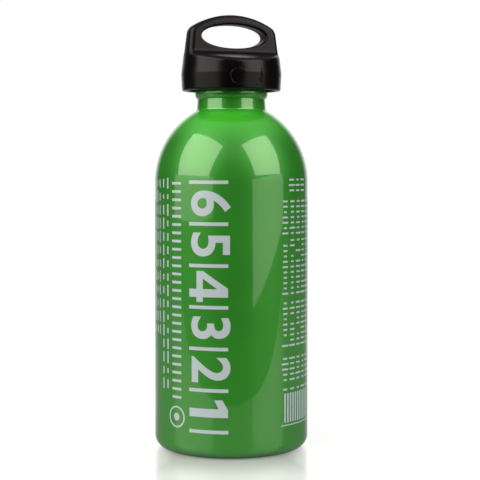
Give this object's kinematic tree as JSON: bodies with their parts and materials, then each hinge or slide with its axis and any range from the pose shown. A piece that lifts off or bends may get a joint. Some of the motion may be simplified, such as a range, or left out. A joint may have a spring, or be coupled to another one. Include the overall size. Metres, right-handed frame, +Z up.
{
  "type": "camping fuel bottle",
  "caption": "Slim aluminium fuel bottle with a domed shoulder, a short neck, and a push-and-turn screw cap with a carrying loop.",
  "frame": {"origin": "centre of the base ring, on the surface the bottle stands on", "axes": "+Z up along the bottle's axis; X along the carrying loop's width; Y through the loop's eye"},
  "size_m": [0.073, 0.073, 0.2052],
  "materials": {
    "lacquered_aluminium": "glossy green lacquer over aluminium",
    "bare_aluminium": "machined",
    "seal_rubber": "smooth black rubber",
    "plug_plastic": "moulded black plastic",
    "spring_steel": "bright drawn wire",
    "cap_plastic": "semi-gloss moulded black plastic"
  },
  "bodies": {
    "bottle": {"bottle_shell": "lacquered_aluminium", "neck_insert": "bare_aluminium"},
    "gasket": {"plug_gasket": "seal_rubber"},
    "plug": {"threaded_plug": "plug_plastic"},
    "spring": {"return_spring": "spring_steel"},
    "cap": {"cap_shell": "cap_plastic"}
  },
  "joints": [
    {"name": "cap_rise", "type": "slide", "parent": "bottle", "child": "gasket", "axis": [0, 0, 1], "range_m": [0, 0.0091]},
    {"name": "cap_turn", "type": "hinge", "parent": "gasket", "child": "plug", "pos_m": [0, 0, 0.1731], "axis": [0, 0, 1], "range_deg": [0, 1080]},
    {"name": "cap_freewheel", "type": "hinge", "parent": "plug", "child": "spring", "pos_m": [0, 0, 0.175], "axis": [0, 0, 1], "continuous": true},
    {"name": "cap_press", "type": "slide", "parent": "spring", "child": "cap", "axis": [0, 0, -1], "range_m": [0, 0.003], "stiffness_N_per_m": 3000, "springref_m": -0.002, "deforming": ["return_spring"]}
  ],
  "couplings": [
    {"joint": "cap_rise", "follows": "cap_turn", "m_per_rad": 0.00047746}
  ]
}
